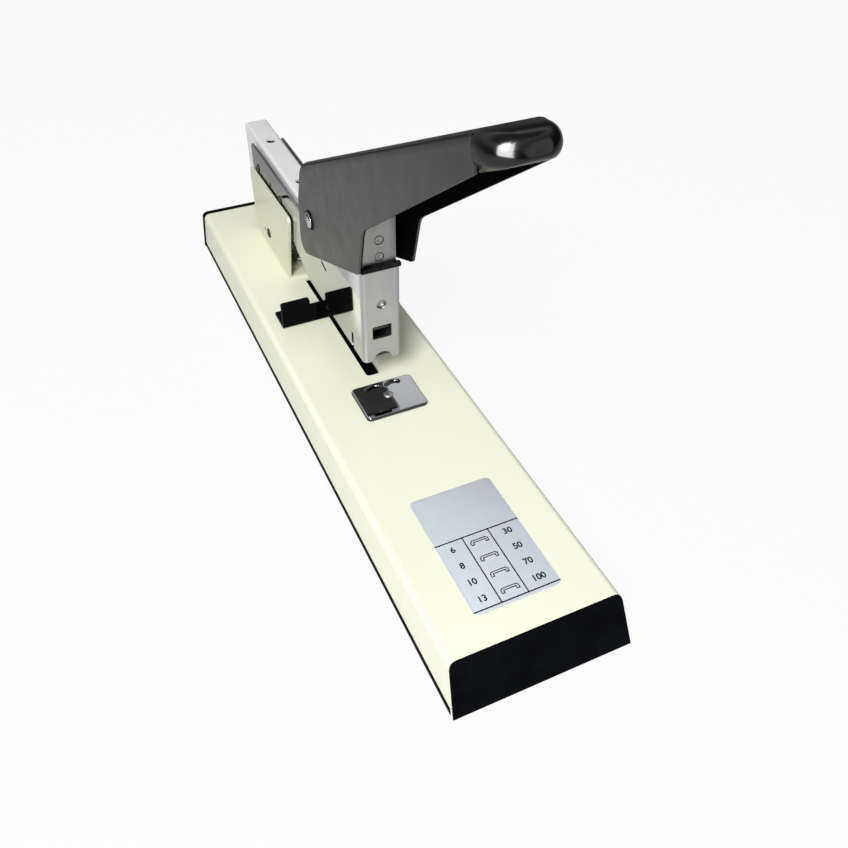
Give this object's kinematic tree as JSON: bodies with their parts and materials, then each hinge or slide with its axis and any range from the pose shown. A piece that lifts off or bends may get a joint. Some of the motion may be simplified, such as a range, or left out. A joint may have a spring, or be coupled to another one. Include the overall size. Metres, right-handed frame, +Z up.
{
  "type": "heavy duty stapler",
  "caption": "Long desk stapler for thick piles: painted steel base with anvil and sliding depth stop, polished folded head on a rear hinge, and a pressed steel lever that drives the blade.",
  "frame": {"origin": "on the desk under the middle of the base", "axes": "+Z up; -Y towards the front end, where the label and the lever's grip are; +X to the right for someone who faces +Y"},
  "size_m": [0.065, 0.29, 0.1638],
  "materials": {
    "cream_paint": "smooth cream stove enamel with a soft gloss",
    "black_gloss_plastic": "gloss black moulding",
    "black_satin": "satin black moulding",
    "black_paint": "gloss black enamel on pressed steel",
    "black_rubber": "matt black rubber",
    "polished_steel": "polished bright nickel plate",
    "chrome": "bright plating",
    "satin_steel": "satin zinc plate",
    "dark_steel": "dark oiled steel"
  },
  "bodies": {
    "base": {"base_cover": "cream_paint", "front_end_cap": "black_gloss_plastic", "rear_end_cap": "black_gloss_plastic", "bottom_tray": "black_satin", "rubber_foot_1": "black_rubber", "rubber_foot_2": "black_rubber", "rubber_foot_3": "black_rubber", "rubber_foot_4": "black_rubber", "tray_screw_1": "dark_steel", "tray_screw_2": "dark_steel", "tray_screw_3": "dark_steel", "tray_screw_4": "dark_steel", "anvil_plate": "chrome", "anvil_rivet": "satin_steel", "anvil_backing": "dark_steel", "rear_bracket": "cream_paint", "bracket_rivet_1": "cream_paint", "bracket_rivet_2": "cream_paint", "bracket_rivet_3": "cream_paint", "bracket_rivet_4": "cream_paint", "hinge_pin": "dark_steel", "lift_spring": "satin_steel"},
    "stop": {"depth_stop": "black_paint", "stop_shoe": "black_paint", "stop_screw": "dark_steel"},
    "frame": {"head_frame": "polished_steel", "staple_rail": "satin_steel", "top_channel": "satin_steel", "cross_rivet_1": "satin_steel", "cross_rivet_2": "satin_steel", "spring_seat": "satin_steel", "guide_rod": "satin_steel", "rod_nut": "satin_steel", "head_bumper": "black_rubber", "hinge_bush": "satin_steel", "pivot_screw": "chrome", "pivot_nut": "satin_steel", "pivot_washer_1": "satin_steel", "pivot_washer_2": "satin_steel", "driver_spring": "dark_steel", "pusher_spring": "dark_steel"},
    "pusher": {"staple_pusher": "satin_steel"},
    "lever": {"lever": "black_paint", "lever_grip": "black_gloss_plastic", "link_bracket": "dark_steel", "link_pin": "dark_steel"},
    "driver": {"driver_yoke": "satin_steel", "driver_blade": "satin_steel", "blade_rivet_1": "satin_steel", "blade_rivet_2": "satin_steel"}
  },
  "joints": [
    {"name": "frame_tilt", "type": "hinge", "parent": "base", "child": "frame", "pos_m": [0, 0.097, 0.029], "axis": [1, 0, 0], "range_deg": [0, 7], "stiffness_Nm_per_rad": 5, "springref_deg": -9.74, "deforming": ["lift_spring"]},
    {"name": "lever_press", "type": "hinge", "parent": "frame", "child": "lever", "pos_m": [0, 0.0267, 0.0735], "axis": [1, 0, 0], "range_deg": [0, 28], "stiffness_Nm_per_rad": 1, "springref_deg": -20.05},
    {"name": "driver_slide", "type": "slide", "parent": "frame", "child": "driver", "axis": [0, 0, -1], "range_m": [0, 0.0179], "deforming": ["driver_spring"]},
    {"name": "pusher_slide", "type": "slide", "parent": "frame", "child": "pusher", "axis": [0, 1, 0], "range_m": [0, 0.055], "stiffness_N_per_m": 40, "springref_m": -0.05, "deforming": ["pusher_spring"]},
    {"name": "stop_slide", "type": "slide", "parent": "base", "child": "stop", "axis": [0, 1, 0], "range_m": [-0.043, 0.02]}
  ],
  "couplings": [
    {"joint": "driver_slide", "follows": "lever_press", "m_per_rad": 0.0365}
  ]
}
